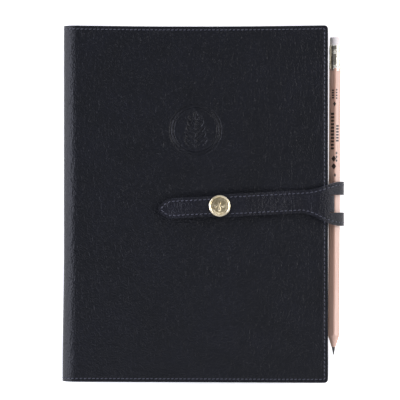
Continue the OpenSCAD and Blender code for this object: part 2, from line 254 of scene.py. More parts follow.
# drum-dyed cowhide, shrunken grain with a satin finish: small pebbles with slack creases
# along the height, a low sheen that breaks up over the grain
def grainedLeather(name, dark, light, pebble=0.95 * mm, depth=0.16 * mm):
    material, shader = newMaterial(name)
    add = partial(addNode, material)
    point = add("TexCoord", output="Object")
    warp = add("TexNoise", {"Vector": point, "Scale": 1 / (3 * mm)})
    warped = add(
        "VectorMath", {"operation": "MULTIPLY_ADD", 0: warp, 1: (0.9 * mm,) * 3, 2: point}
    )
    cells = add(
        "TexVoronoi",
        {
            "feature": "SMOOTH_F1",
            "Vector": warped,
            "Scale": 1 / pebble,
            "Smoothness": 0.35,
        },
        output="Distance",
    )
    pebbles = add(
        "MapRange",
        {"Value": cells, "From Min": 0.1, "From Max": 0.75, "To Min": 1.0, "To Max": 0.0},
    )
    creasePoint = add(
        "Mapping", {"Vector": add("TexCoord", output="Object"), "Scale": (1.0, 0.28, 1.0)}
    )
    creases = add("TexNoise", {"Vector": creasePoint, "Scale": 1 / (1.5 * mm)})
    swell = add("TexNoise", {"Vector": point, "Scale": 1 / (14 * mm)})
    height = add(
        "Math",
        {
            "operation": "ADD",
            0: pebbles,
            1: add("Math", {"operation": "MULTIPLY", 0: creases, 1: 2.3}),
        },
    )
    height = add(
        "Math",
        {
            "operation": "ADD",
            0: height,
            1: add("Math", {"operation": "MULTIPLY", 0: swell, 1: 1.5}),
        },
    )
    feed(material, shader, "Normal", add("Bump", {"Height": height, "Distance": depth}))
    tone = add(
        "MapRange",
        {
            "Value": add(
                "TexNoise", {"Vector": point, "Scale": 1 / (22 * mm), "Detail": 3}
            ),
            "From Min": 0.35,
            "From Max": 0.65,
        },
    )
    ridge = add("Math", {"operation": "MULTIPLY", 0: pebbles, 1: tone})
    feed(
        material,
        shader,
        "Base Color",
        add("Mix", {"data_type": "RGBA", 0: ridge, 6: dark, 7: light}, output=2),
    )
    feed(
        material,
        shader,
        "Roughness",
        add(
            "MapRange",
            {
                "Value": pebbles,
                "From Min": 0.0,
                "From Max": 1.0,
                "To Min": 0.48,
                "To Max": 0.37,
            },
        ),
    )
    shader.inputs["Specular IOR Level"].default_value = 0.25
    return material


# burnished and painted cut edge: smooth, a little glossier than the grain; the dark edge paint is
# coloured paler than it is, as a painted highlight along the rounded edge
def paintedEdge():
    material, shader = newMaterial("painted leather edge")
    add = partial(addNode, material)
    point = add("TexCoord", output="Object")
    grain = add("TexNoise", {"Vector": point, "Scale": 1 / (0.8 * mm), "Detail": 3})
    feed(
        material,
        shader,
        "Base Color",
        add(
            "Mix",
            {
                "data_type": "RGBA",
                0: add("MapRange", {"Value": grain, "From Min": 0.3, "From Max": 0.7}),
                # paler than the edge paint itself: the difference is a painted highlight
                6: "#393a43",
                7: "#565863",
            },
            output=2,
        ),
    )
    feed(
        material,
        shader,
        "Roughness",
        add(
            "MapRange",
            {
                "Value": grain,
                "From Min": 0.3,
                "From Max": 0.7,
                "To Min": 0.36,
                "To Max": 0.52,
            },
        ),
    )
    feed(
        material, shader, "Normal", add("Bump", {"Height": grain, "Distance": 0.05 * mm})
    )
    return material


# split leather with a short suede nap: matte, soft blotches where the nap lies over
def suedeLining():
    material, shader = newMaterial("suede split lining")
    add = partial(addNode, material)
    point = add("TexCoord", output="Object")
    nap = add(
        "TexNoise",
        {"Vector": point, "Scale": 1 / (0.35 * mm), "Detail": 4, "Roughness": 0.7},
    )
    brushed = add(
        "TexNoise",
        {"Vector": point, "Scale": 1 / (9 * mm), "Detail": 3, "Roughness": 0.6},
    )
    tone = add("Math", {"operation": "MULTIPLY", 0: nap, 1: brushed})
    feed(
        material,
        shader,
        "Base Color",
        add(
            "Mix",
            {
                "data_type": "RGBA",
                0: add("MapRange", {"Value": tone, "From Min": 0.12, "From Max": 0.4}),
                6: "#26252b",
                7: "#3d3b43",
            },
            output=2,
        ),
    )
    shader.inputs["Roughness"].default_value = 0.92
    shader.inputs["Sheen Weight"].default_value = 0.35
    shader.inputs["Sheen Roughness"].default_value = 0.5
    feed(material, shader, "Normal", add("Bump", {"Height": nap, "Distance": 0.09 * mm}))
    return material


# waxed, twisted polyester thread: near black with a faint dry shine on the twist
def waxedThread():
    material, shader = newMaterial("waxed black thread")
    add = partial(addNode, material)
    point = add(
        "Mapping", {"Vector": add("TexCoord", output="Object"), "Scale": (1.0, 1.0, 0.6)}
    )
    twist = add("TexNoise", {"Vector": point, "Scale": 1 / (0.22 * mm)})
    feed(
        material,
        shader,
        "Base Color",
        add(
            "Mix",
            {
                "data_type": "RGBA",
                0: add("MapRange", {"Value": twist, "From Min": 0.3, "From Max": 0.7}),
                6: "#2b2c35",
                7: "#50515e",
            },
            output=2,
        ),
    )
    shader.inputs["Roughness"].default_value = 0.45
    feed(
        material, shader, "Normal", add("Bump", {"Height": twist, "Distance": 0.06 * mm})
    )
    return material


# uncoated wood-free paper, seen on its cut edges: fine sheet lines a quarter millimetre
# apart, which is coarser than the sheets, so that they show
def writingPaper():
    material, shader = newMaterial("ivory writing paper")
    add = partial(addNode, material)
    point = add(
        "Mapping", {"Vector": add("TexCoord", output="Object"), "Scale": (0.2, 0.2, 1.0)}
    )
    sheets = add(
        "TexNoise", {"Vector": point, "Scale": 1 / (0.16 * mm), "Roughness": 0.7}
    )
    fibres = add(
        "TexNoise",
        {
            "Vector": add("TexCoord", output="Object"),
            "Scale": 1 / (0.5 * mm),
            "Detail": 3,
        },
    )
    tone = add(
        "Math",
        {
            "operation": "MULTIPLY",
            0: sheets,
            1: add(
                "MapRange",
                {"Value": fibres, "From Min": 0.2, "From Max": 0.8, "To Min": 0.8},
            ),
        },
    )
    feed(
        material,
        shader,
        "Base Color",
        add(
            "Mix",
            {
                "data_type": "RGBA",
                0: add("MapRange", {"Value": tone, "From Min": 0.2, "From Max": 0.55}),
                6: "#cfc6b2",
                7: "#f3eee0",
            },
            output=2,
        ),
    )
    shader.inputs["Roughness"].default_value = 0.85
    feed(
        material, shader, "Normal", add("Bump", {"Height": sheets, "Distance": 0.04 * mm})
    )
    return material


# uncoated pulp board, dyed through: flat and dry with loose fibres
def greyBoard():
    material, shader = newMaterial("dyed grey board")
    add = partial(addNode, material)
    point = add("TexCoord", output="Object")
    fibres = add(
        "TexNoise",
        {
            "Vector": add(
                "Mapping",
                {"Vector": add("TexCoord", output="Object"), "Scale": (1.0, 0.25, 1.0)},
            ),
            "Scale": 1 / (0.6 * mm),
            "Detail": 4,
            "Roughness": 0.7,
        },
    )
    blot = add("TexNoise", {"Vector": point, "Scale": 1 / (5 * mm)})
    tone = add("Math", {"operation": "MULTIPLY", 0: fibres, 1: blot})
    feed(
        material,
        shader,
        "Base Color",
        add(
            "Mix",
            {
                "data_type": "RGBA",
                0: add("MapRange", {"Value": tone, "From Min": 0.1, "From Max": 0.42}),
                6: "#33343a",
                7: "#50525a",
            },
            output=2,
        ),
    )
    shader.inputs["Roughness"].default_value = 0.8
    feed(
        material, shader, "Normal", add("Bump", {"Height": fibres, "Distance": 0.04 * mm})
    )
    return material


# glued book muslin: an open plain weave in hide glue
def bookMuslin():
    material, shader = newMaterial("book muslin")
    add = partial(addNode, material)
    weave = add(
        "TexWave",
        {
            "Vector": add("TexCoord", output="Object"),
            "Scale": 1 / (4 * mm),
            "bands_direction": "Y",
            "Distortion": 0.4,
        },
    )
    shade = add(
        "TexNoise", {"Vector": add("TexCoord", output="Object"), "Scale": 1 / (2 * mm)}
    )
    tone = add("Math", {"operation": "ADD", 0: weave, 1: shade})
    feed(
        material,
        shader,
        "Base Color",
        add(
            "Mix",
            {
                "data_type": "RGBA",
                0: add("MapRange", {"Value": tone, "From Min": 0.4, "From Max": 1.4}),
                6: "#b5ab93",
                7: "#e2dac6",
            },
            output=2,
        ),
    )
    shader.inputs["Roughness"].default_value = 0.9
    feed(material, shader, "Normal", add("Bump", {"Height": weave, "Distance": 0.1 * mm}))
    return material


# stamped brass with a pale antique lacquer: warm and dull with fine rubbing; the cap's rim
# gets a paler copy of it, a painted highlight standing in for the bright ridge
def antiqueBrass(name, dark, light, roughLow, roughHigh):
    material, shader = newMaterial(name)
    add = partial(addNode, material)
    point = add("TexCoord", output="Object")
    tarnish = add(
        "TexNoise",
        {"Vector": point, "Scale": 1 / (1.6 * mm), "Detail": 4, "Roughness": 0.6},
    )
    rubbing = add(
        "TexNoise",
        {
            "Vector": add(
                "Mapping",
                {"Vector": add("TexCoord", output="Object"), "Scale": (1.0, 6.0, 1.0)},
            ),
            "Scale": 1 / (0.5 * mm),
            "Detail": 3,
        },
    )
    feed(
        material,
        shader,
        "Base Color",
        add(
            "Mix",
            {
                "data_type": "RGBA",
                0: add(
                    "MapRange", {"Value": tarnish, "From Min": 0.35, "From Max": 0.65}
                ),
                6: dark,
                7: light,
            },
            output=2,
        ),
    )
    shader.inputs["Metallic"].default_value = 1.0
    feed(
        material,
        shader,
        "Roughness",
        add(
            "MapRange",
            {
                "Value": rubbing,
                "From Min": 0.3,
                "From Max": 0.7,
                "To Min": roughLow,
                "To Max": roughHigh,
            },
        ),
    )
    feed(
        material,
        shader,
        "Normal",
        add("Bump", {"Height": rubbing, "Distance": 0.01 * mm}),
    )
    return material


# drawn spring wire: bright, with fine lines along it
def springWire():
    material, shader = newMaterial("drawn spring wire")
    add = partial(addNode, material)
    lines = add(
        "TexNoise", {"Vector": add("TexCoord", output="Object"), "Scale": 1 / (0.2 * mm)}
    )
    feed(
        material,
        shader,
        "Base Color",
        add(
            "Mix",
            {
                "data_type": "RGBA",
                0: add("MapRange", {"Value": lines, "From Min": 0.3, "From Max": 0.7}),
                6: "#8f9196",
                7: "#b9bbc0",
            },
            output=2,
        ),
    )
    shader.inputs["Metallic"].default_value = 1.0
    feed(
        material,
        shader,
        "Roughness",
        add(
            "MapRange",
            {
                "Value": lines,
                "From Min": 0.3,
                "From Max": 0.7,
                "To Min": 0.2,
                "To Max": 0.35,
            },
        ),
    )
    return material


# clear-lacquered cedar: straight grain along the pencil, a thin hard coat over it
def lacqueredCedar(printed):
    material, shader = newMaterial("lacquered cedar")
    add = partial(addNode, material)
    grain = add(
        "TexNoise",
        {
            "Vector": add(
                "Mapping",
                {"Vector": add("TexCoord", output="Object"), "Scale": (1.0, 0.02, 1.0)},
            ),
            "Scale": 1 / (0.5 * mm),
            "Detail": 4,
            "Roughness": 0.6,
        },
    )
    flecks = add(
        "TexNoise",
        {
            "Vector": add(
                "Mapping",
                {"Vector": add("TexCoord", output="Object"), "Scale": (1.0, 0.1, 1.0)},
            ),
            "Scale": 1 / (0.35 * mm),
        },
    )
    broad = add(
        "TexNoise",
        {
            "Vector": add(
                "Mapping",
                {"Vector": add("TexCoord", output="Object"), "Scale": (1.0, 0.06, 1.0)},
            ),
            "Scale": 1 / (3 * mm),
        },
    )
    wood = add(
        "Mix",
        {
            "data_type": "RGBA",
            0: add("MapRange", {"Value": grain, "From Min": 0.3, "From Max": 0.7}),
            6: printed["woodDark"],
            7: printed["wood"],
        },
        output=2,
    )
    wood = add(
        "Mix",
        {
            "data_type": "RGBA",
            0: add(
                "MapRange",
                {"Value": broad, "From Min": 0.35, "From Max": 0.7, "To Max": 0.55},
            ),
            6: wood,
            7: printed["woodPale"],
        },
        output=2,
    )
    wood = add(
        "Mix",
        {
            "data_type": "RGBA",
            0: add(
                "MapRange",
                {"Value": flecks, "From Min": 0.66, "From Max": 0.74, "To Max": 0.5},
            ),
            6: wood,
            7: "#8f5f45",
        },
        output=2,
    )
    ink = foilPrint(add, printed)
    feed(
        material,
        shader,
        "Base Color",
        add("Mix", {"data_type": "RGBA", 0: ink, 6: wood, 7: "#2b1a15"}, output=2),
    )
    shader.inputs["Roughness"].default_value = 0.42
    shader.inputs["Coat Weight"].default_value = 0.35
    shader.inputs["Coat Roughness"].default_value = 0.2
    feed(
        material, shader, "Normal", add("Bump", {"Height": grain, "Distance": 0.02 * mm})
    )
    return material


# hot-stamped pattern of plain diamonds and short bars on the two upper flats
def foilPrint(add, printed):
    coordinates = add("TexCoord", output="Object")
    axes = add("SeparateXYZ", {"Vector": coordinates}).node.outputs
    along = add("Math", {"operation": "SUBTRACT", 0: axes[1], 1: printed["start"]})
    lean = add("Math", {"operation": "MULTIPLY", 0: axes[1], 1: printed["lean"]})
    across = add("Math", {"operation": "SUBTRACT", 0: axes[0], 1: printed["axisX"]})
    across = add("Math", {"operation": "SUBTRACT", 0: across, 1: lean})

    def row(offset, pitch, low, high, width, diamond):
        place = add("Math", {"operation": "DIVIDE", 0: along, 1: pitch})
        step = add(
            "Math",
            {
                "operation": "SUBTRACT",
                0: add("Math", {"operation": "FRACT", 0: place, 1: 0}),
                1: 0.5,
            },
        )
        step = add("Math", {"operation": "ABSOLUTE", 0: step, 1: 0})
        side = add("Math", {"operation": "SUBTRACT", 0: across, 1: offset})
        side = add("Math", {"operation": "ABSOLUTE", 0: side, 1: 0})
        side = add("Math", {"operation": "DIVIDE", 0: side, 1: width})
        if diamond:
            inside = add(
                "Math",
                {
                    "operation": "ADD",
                    0: add("Math", {"operation": "MULTIPLY", 0: step, 1: 2.4}),
                    1: side,
                },
            )
        else:
            inside = add(
                "Math",
                {
                    "operation": "MAXIMUM",
                    0: add("Math", {"operation": "MULTIPLY", 0: step, 1: 3.2}),
                    1: side,
                },
            )
        shape = add("Math", {"operation": "LESS_THAN", 0: inside, 1: 1.0})
        after = add("Math", {"operation": "GREATER_THAN", 0: along, 1: low})
        before = add("Math", {"operation": "LESS_THAN", 0: along, 1: high})
        return add(
            "Math",
            {
                "operation": "MULTIPLY",
                0: shape,
                1: add("Math", {"operation": "MULTIPLY", 0: after, 1: before}),
            },
        )

    rows = [row(*entry) for entry in printed["rows"]]
    total = rows[0]
    for entry in rows[1:]:
        total = add("Math", {"operation": "MAXIMUM", 0: total, 1: entry})
    above = add("Math", {"operation": "GREATER_THAN", 0: axes[2], 1: printed["axisZ"]})
    worn = add(
        "MapRange",
        {
            "Value": add(
                "TexNoise", {"Vector": coordinates, "Scale": 1 / (0.5 * mm), "Detail": 3}
            ),
            "From Min": 0.2,
            "From Max": 0.45,
            "To Min": 0.75,
        },
    )
    return add(
        "Math",
        {
            "operation": "MULTIPLY",
            0: add("Math", {"operation": "MULTIPLY", 0: total, 1: above}),
            1: worn,
        },
    )


# sharpened graphite and clay: dark grey, with a slight metallic slide
def graphite():
    material, shader = newMaterial("sharpened graphite")
    add = partial(addNode, material)
    lines = add(
        "TexNoise",
        {
            "Vector": add(
                "Mapping",
                {"Vector": add("TexCoord", output="Object"), "Scale": (1.0, 0.2, 1.0)},
            ),
            "Scale": 1 / (0.3 * mm),
            "Detail": 3,
        },
    )
    feed(
        material,
        shader,
        "Base Color",
        add(
            "Mix",
            {
                "data_type": "RGBA",
                0: add("MapRange", {"Value": lines, "From Min": 0.3, "From Max": 0.7}),
                6: "#3a3b3d",
                7: "#5b5c5e",
            },
            output=2,
        ),
    )
    shader.inputs["Metallic"].default_value = 0.4
    shader.inputs["Roughness"].default_value = 0.45
    return material


# bare sharpened cedar: knife marks round the cone, no lacquer
def bareCedar(printed):
    material, shader = newMaterial("bare sharpened cedar")
    add = partial(addNode, material)
    cuts = add(
        "TexNoise",
        {
            "Vector": add(
                "Mapping",
                {"Vector": add("TexCoord", output="Object"), "Scale": (0.3, 2.0, 0.3)},
            ),
            "Scale": 1 / (0.6 * mm),
            "Detail": 3,
        },
    )
    feed(
        material,
        shader,
        "Base Color",
        add(
            "Mix",
            {
                "data_type": "RGBA",
                0: add("MapRange", {"Value": cuts, "From Min": 0.3, "From Max": 0.7}),
                6: printed["wood"],
                7: printed["woodPale"],
            },
            output=2,
        ),
    )
    shader.inputs["Roughness"].default_value = 0.75
    feed(material, shader, "Normal", add("Bump", {"Height": cuts, "Distance": 0.03 * mm}))
    return material


# soft vinyl eraser: white, faintly translucent, with a dusty skin
def vinylEraser():
    material, shader = newMaterial("white vinyl eraser")
    add = partial(addNode, material)
    dust = add(
        "TexNoise",
        {
            "Vector": add("TexCoord", output="Object"),
            "Scale": 1 / (0.9 * mm),
            "Detail": 4,
            "Roughness": 0.7,
        },
    )
    feed(
        material,
        shader,
        "Base Color",
        add(
            "Mix",
            {
                "data_type": "RGBA",
                0: add("MapRange", {"Value": dust, "From Min": 0.3, "From Max": 0.7}),
                6: "#e3d9d6",
                7: "#f6f1ef",
            },
            output=2,
        ),
    )
    shader.inputs["Roughness"].default_value = 0.7
    shader.inputs["Subsurface Weight"].default_value = 0.1
    shader.inputs["Subsurface Radius"].default_value = (0.6 * mm, 0.4 * mm, 0.3 * mm)
    feed(material, shader, "Normal", add("Bump", {"Height": dust, "Distance": 0.04 * mm}))
    return material


studio = {
    "frameWidth": 243.0 * mm,
    "lens": 200.0,
    "aim": (-2.4 * mm, 2.3 * mm),
    "floor": "#ffffff",
    "sky": 0.06,
    "mirroredSky": 0.12,
    "floorGlow": 0.75,
    "shadowReach": 7 * mm,
    "shadowPower": 2.6,
    "lamps": [
        ("leftSoft", (-0.9, 0.1, 0.4), (1.1, 0.6), 15, "#e9ebfc"),
        ("rightSoft", (0.8, 0.1, 0.55), (1.1, 0.4), 9.5, "#fbfaff"),
        ("headSoft", (0.1, 0.9, 0.5), (1.0, 0.35), 2, "#f1f3ff"),
        ("tailSoft", (-0.1, -0.7, 0.95), (1.2, 0.4), 4, "#f1f3ff"),
    ],
}


def makeCamera():
    data = bpy.data.cameras.new("camera")
    data.lens = studio["lens"]
    data.sensor_width = 36.0
    height = studio["frameWidth"] * data.lens / data.sensor_width
    camera = bpy.data.objects.new("camera", data)
    camera.location = (*studio["aim"], cover["top"] + height)
    data.clip_start, data.clip_end = 0.05, 20.0
    bpy.context.scene.collection.objects.link(camera)
    bpy.context.scene.camera = camera


def addLamp(name, place, aim, size, power, colour):
    data = bpy.data.lights.new(name, "AREA")
    data.shape = "RECTANGLE"
    data.size, data.size_y = size
    data.energy = power
    data.color = linearColour(colour)[:3]
    lamp = bpy.data.objects.new(name, data)
    lamp.location = place
    lamp.rotation_euler = (Vector(aim) - Vector(place)).to_track_quat("-Z", "Y").to_euler()
    bpy.context.scene.collection.objects.link(lamp)


def makeStudio():
    scene = bpy.context.scene
    scene.view_settings.view_transform = "Standard"
    world = bpy.data.worlds.new("studio")
    scene.world = world
    world.use_nodes = True
    background = world.node_tree.nodes["Background"]
    background.inputs["Color"].default_value = (1, 1, 1, 1)
    # dim for everything but the camera, so that flat leather doesn't mirror a white sky
    path = addNode(world, "LightPath").node.outputs
    share = addNode(
        world,
        "Math",
        {"operation": "MAXIMUM", 0: path["Is Camera Ray"], 1: path["Is Transmission Ray"]},
    )
    mirrored = addNode(
        world,
        "Math",
        {
            "operation": "MULTIPLY_ADD",
            0: path["Is Glossy Ray"],
            1: studio["mirroredSky"],
            2: share,
        },
    )
    sky = addNode(world, "MapRange", {"Value": mirrored, "To Min": studio["sky"]})
    feed(world, background, "Strength", sky)
    for name, place, size, power, colour in studio["lamps"]:
        addLamp(name, place, (0, 0, 0), size, power, colour)
    bpy.ops.mesh.primitive_plane_add(size=6, location=(0, 0, cadLow.z - 0.05 * mm))
    floor = bpy.context.object
    floor.name = "floor"
    material, shader = newMaterial("white paper sweep")
    add = partial(addNode, material)
    shader.inputs["Base Color"].default_value = linearColour(studio["floor"])
    shader.inputs["Roughness"].default_value = 0.9
    shader.inputs["Specular IOR Level"].default_value = 0.1
    path = add("LightPath").node.outputs
    seen = add(
        "Math",
        {"operation": "MAXIMUM", 0: path["Is Camera Ray"], 1: path["Is Glossy Ray"]},
    )
    seen = add("Math", {"operation": "MAXIMUM", 0: seen, 1: path["Is Transmission Ray"]})
    # the glow fades where the object stands close, so that its shadow stays
    clear = add("AmbientOcclusion", {"Distance": studio["shadowReach"]}, output="AO")
    lit = add("Math", {"operation": "POWER", 0: clear, 1: studio["shadowPower"]})
    seen = add("Math", {"operation": "MULTIPLY", 0: seen, 1: studio["floorGlow"]})
    strength = add("Math", {"operation": "MULTIPLY", 0: seen, 1: lit})
    glow = add("Emission", {"Color": "#ffffff", "Strength": strength})
    both = add("AddShader", {0: shader.outputs[0], 1: glow})
    feed(material, material.node_tree.nodes["Material Output"], "Surface", both)
    floor.data.materials.append(material)
    print("studio made")


seamLines = [0.0, 0.6, 1.3, 1.75, 2.1, 2.45, 2.9, 3.8, 5.2]
seamLines = [d * mm for d in seamLines]
arcLength = cover["spineR"] * math.pi / 2
flatHalf = cover["spineFlat"] / 2
shoulderX = cover["left"] + cover["spineR"]
wrapLength = flatHalf + arcLength + cover["right"] - shoulderX

mark = {
    "x": cover["middle"],
    "y": 44.8 * mm,
    "radius": 16.0 * mm,
    "depth": 0.6 * mm,
    "soft": 0.3 * mm,
    "cuts": 5,
}


def wrapPoint(s, side):
    # a point of the closed cover's outside, s along it from the middle of the spine, and the
    # way out from there; side is 1 for the front half and -1 for the back half
    if s < flatHalf:
        return Vector((cover["left"], 0, cover["midZ"] + side * s)), Vector((-1, 0, 0))
    turn = min((s - flatHalf) / cover["spineR"], math.pi / 2)
    out = Vector((-math.cos(turn), 0, side * math.sin(turn)))
    centre = Vector((shoulderX, 0, cover["midZ"] + side * flatHalf))
    point = centre + out * cover["spineR"]
    point.x += max(0.0, s - flatHalf - arcLength)
    return point, out


def roundCorner(s, y):
    # draws the two fore-edge corners of the rectangle in to their radius
    r = cover["corner"]
    u = (s - (wrapLength - r)) / r
    v = (abs(y) - (cover["halfHeight"] - r)) / r
    if u <= 0 or v <= 0:
        return s, y
    newU, newV = u * math.sqrt(1 - v * v / 2), v * math.sqrt(1 - u * u / 2)
    return (
        wrapLength - r + newU * r,
        math.copysign(cover["halfHeight"] - r + newV * r, y),
    )


def edgeDistance(s, y):
    # distance from the nearest of the three sewn edges
    r = cover["corner"]
    u = wrapLength - s
    v = cover["halfHeight"] - abs(y)
    if u < r and v < r:
        return r - math.hypot(r - u, r - v)
    return min(u, v)


def handShape(point):
    # hand-cut edges aren't dead straight: the head dips and the tail of the spine flares
    x = (point.x - cover["middle"]) / (cover["right"] - cover["left"]) * 2
    y = point.y / cover["halfHeight"]
    dip = 0.8 * mm * (1 - x * x) * max(0.0, y) ** 3
    slant = 0.35 * mm * x * max(0.0, -y) ** 3
    flare = 0.9 * mm * max(0.0, -x) ** 3 * smoothStep((-y - 0.25) / 0.75)
    return Vector((point.x - flare, point.y - dip - slant, point.z))


def markField(x, y):
    # how deep the pressed mark is there, from 0 to 1: a ring with a sprig of leaves in it
    u = (x - mark["x"]) / mark["radius"]
    v = (y - mark["y"]) / mark["radius"]
    reach = math.hypot(u, v)
    if reach > 1.1:
        return 0.0
    soft = mark["soft"] / mark["radius"]
    ring = abs(reach - 0.955) - 0.035
    inner = abs(reach - 0.84) - 0.014
    stem = max(abs(u - 0.06 * math.sin(2.6 * v)) - 0.022, abs(v + 0.13) - 0.55)
    shapes = [ring, inner, stem]
    for k in range(5):
        for sign in (-1, 1):
            shapes.append(leafField(u, v, 0.24 * k - 0.62, sign, 0.58 - 0.06 * k))
    shapes.append(leafField(u, v, 0.36, 0, 0.36))
    return smoothStep(0.5 - min(shapes) / soft / 2)


def leafField(u, v, rootV, sign, length):
    angle = math.radians(90 - 52 * sign)
    alongU, alongV = math.cos(angle), math.sin(angle)
    du, dv = u, v - rootV
    along = (du * alongU + dv * alongV) / length
    across = abs(-du * alongV + dv * alongU)
    if not 0 < along < 1:
        return 1.0
    width = 0.42 * length * math.sin(math.pi * along**0.8) * 0.62
    vein = 0.012
    return max(across - width, vein - across)


def coverHalf(name, side, inset, thickness, span, bevel, materials, detail):
    # span is the edge inset at head, tail and fore edge, which sets how much of the wrap it covers
    top = cover["halfHeight"] - span
    end = wrapLength - span
    edge = seamLines if detail else [0.0, 2 * mm]
    rows = lineUp(-top, top, cover["meshPitch"] * (1 if detail else 4), edge)
    spineLines = [
        (flatHalf + arcLength + 3 * mm) * k / 22 for k in range(22)
    ]
    across = lineUp(
        flatHalf + arcLength + 3 * mm, end, cover["meshPitch"] * (1 if detail else 4),
        edge, False,
    )
    columns = spineLines + across

    def place(column, row):
        s, y = columns[column], rows[row]
        if not span:
            s, y = roundCorner(s, y)
        point, out = wrapPoint(s, side)
        sink = inset
        if detail:
            gap = edgeDistance(s, y) - cover["seamInset"]
            sink += cover["grooveDepth"] * math.exp(-((gap / (0.33 * mm)) ** 2))
        point = point - out * sink
        point.y = y
        return handShape(point)

    obj = addGrid(name, len(columns), len(rows), place)
    if side < 0:
        editAll(obj, bpy.ops.mesh.flip_normals)
    if detail and side > 0:
        pressMark(obj)
    finishShell(obj, thickness, bevel, materials)
    return obj


def pressMark(obj):
    activate(obj)
    reach = mark["radius"] * 1.08
    for polygon in obj.data.polygons:
        centre = polygon.center
        polygon.select = (
            math.hypot(centre.x - mark["x"], centre.y - mark["y"]) < reach
        )
    for edge in obj.data.edges:
        edge.select = False
    for vertex in obj.data.vertices:
        vertex.select = False
    chosen = [p.index for p in obj.data.polygons if p.select]
    bpy.ops.object.mode_set(mode="EDIT")
    bpy.ops.mesh.select_mode(type="FACE")
    bpy.ops.mesh.select_all(action="DESELECT")
    bpy.ops.object.mode_set(mode="OBJECT")
    for index in chosen:
        obj.data.polygons[index].select = True
    bpy.ops.object.mode_set(mode="EDIT")
    bpy.ops.mesh.subdivide(number_cuts=mark["cuts"])
    bpy.ops.object.mode_set(mode="OBJECT")
    for vertex in obj.data.vertices:
        vertex.co.z -= mark["depth"] * markField(vertex.co.x, vertex.co.y)


def bendHalf(obj, side):
    # bakes the piece's placement into its mesh; the piece already follows the spine up to its
    # shoulder and the panel past it, as wrapPoint laid it out
    if side > 0:
        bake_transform(obj)
    else:
        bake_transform(obj)


def makeCover(leather, edge, lining, board):
    layers = [
        ("Leather", "leather", 0, cover["leather"], 0, 0.28 * mm, [leather, edge], True),
        (
            "Lining",
            "lining",
            cover["leather"],
            cover["lining"],
            0,
            0.12 * mm,
            [lining, edge],
            False,
        ),
        (
            "Card",
            "card",
            cover["leather"] + cover["lining"],
            cover["card"] * 0.9,
            cover["halfHeight"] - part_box("refill_front_card")[1].y,
            0.05 * mm,
            [board],
            False,
        ),
    ]
    nodes = {
        "Leather": "{}_leather",
        "Lining": "{}_lining",
        "Card": "refill_{}_card",
    }
    for layer, slot, inset, thickness, span, bevel, materials, detail in layers:
        for half, side in (("front", 1), ("back", -1)):
            obj = coverHalf(
                half + layer, side, inset, thickness, span, bevel, materials, detail
            )
            bendHalf(obj, side)
            putOn(obj, None, slot, nodes[layer].format(half), nodes[layer].format("spine"))
    print("cover halves made")


flaps = {
    "step": 8 * mm,
    "seamSink": 0.12 * mm,
    "seamReach": 0.33 * mm,
    "mouthLift": 0.12 * mm,
    "mouthReach": 12 * mm,
    "bevel": 0.14 * mm,
}


def makeFlap(half, side, leather, edge):
    low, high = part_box(half + "_pocket_flap")
    inside = low.z if side > 0 else high.z
    rows = lineUp(-cover["halfHeight"], cover["halfHeight"], flaps["step"], seamLines)
    columns = lineUp(low.x, high.x, flaps["step"], seamLines, False)

    def place(column, row):
        s = wrapLength - (high.x - columns[column])
        s, y = roundCorner(s, rows[row])
        gap = edgeDistance(s, y) - cover["seamInset"]
        sink = flaps["seamSink"] * math.exp(-((gap / flaps["seamReach"]) ** 2))
        x = high.x - (wrapLength - s)
        # the mouth of the pocket stands a little proud of the card
        mouth = flaps["mouthLift"] * (1 - smoothStep((x - low.x) / flaps["mouthReach"]))
        mouth *= 1 - (y / cover["halfHeight"]) ** 2
        z = inside + side * (sink - mouth)
        return handShape(Vector((x, y, z)))

    obj = addGrid(half + "PocketFlap", len(columns), len(rows), place)
    if side > 0:
        editAll(obj, bpy.ops.mesh.flip_normals)
    finishShell(obj, cover["flap"], flaps["bevel"], [leather, edge])
    putOn(obj, half, "lining", half + "_pocket_flap")


stitch = {"pitch": 2.5 * mm, "length": 1.8 * mm, "width": 0.68 * mm, "slant": 9.0}


def stitchTemplate():
    bpy.ops.mesh.primitive_uv_sphere_add(segments=8, ring_count=6, radius=0.5)
    ball = bpy.context.object
    points = []
    for vertex in ball.data.vertices:
        x, y, z = vertex.co
        # long barrel with blunt ends that dip into the holes
        points.append(
            (
                stitch["length"] * math.copysign(abs(2 * x) ** 0.7, x) / 2,
                stitch["width"] * y,
                stitch["width"] * 0.8 * z - 0.22 * stitch["width"] * (2 * x) ** 2,
            )
        )
    faces = [tuple(p.vertices) for p in ball.data.polygons]
    bpy.data.objects.remove(ball)
    return points, faces


def sewStitches(name, places, material):
    # places is a list of (point, way along, way out)
    template, templateFaces = stitchTemplate()
    points, faces = [], []
    slant = math.radians(stitch["slant"])
    for point, along, out in places:
        along = along.normalized()
        side = out.cross(along).normalized()
        along, side = (
            along * math.cos(slant) + side * math.sin(slant),
            side * math.cos(slant) - along * math.sin(slant),
        )
        base = len(points)
        points += [point + along * x + side * y + out * z for x, y, z in template]
        faces += [tuple(base + k for k in face) for face in templateFaces]
    mesh = bpy.data.meshes.new(name)
    mesh.from_pydata(points, [], faces)
    obj = bpy.data.objects.new(name, mesh)
    bpy.context.scene.collection.objects.link(obj)
    obj.data.materials.append(material)
    activate(obj)
    bpy.ops.object.shade_smooth()
    return obj


def walk(points, pitch):
    # places a stitch every pitch along a run of points, and gives its middle and direction
    lengths = [(b - a).length for a, b in zip(points, points[1:])]
    total = sum(lengths)
    count = round(total / pitch)
    found, k, passed = [], 0, 0.0
    for n in range(count):
        target = (n + 0.5) * total / count
        while k < len(lengths) - 1 and passed + lengths[k] < target:
            passed += lengths[k]
            k += 1
        share = (target - passed) / lengths[k]
        found.append(
            (points[k].lerp(points[k + 1], share), (points[k + 1] - points[k]).normalized())
        )
    return found


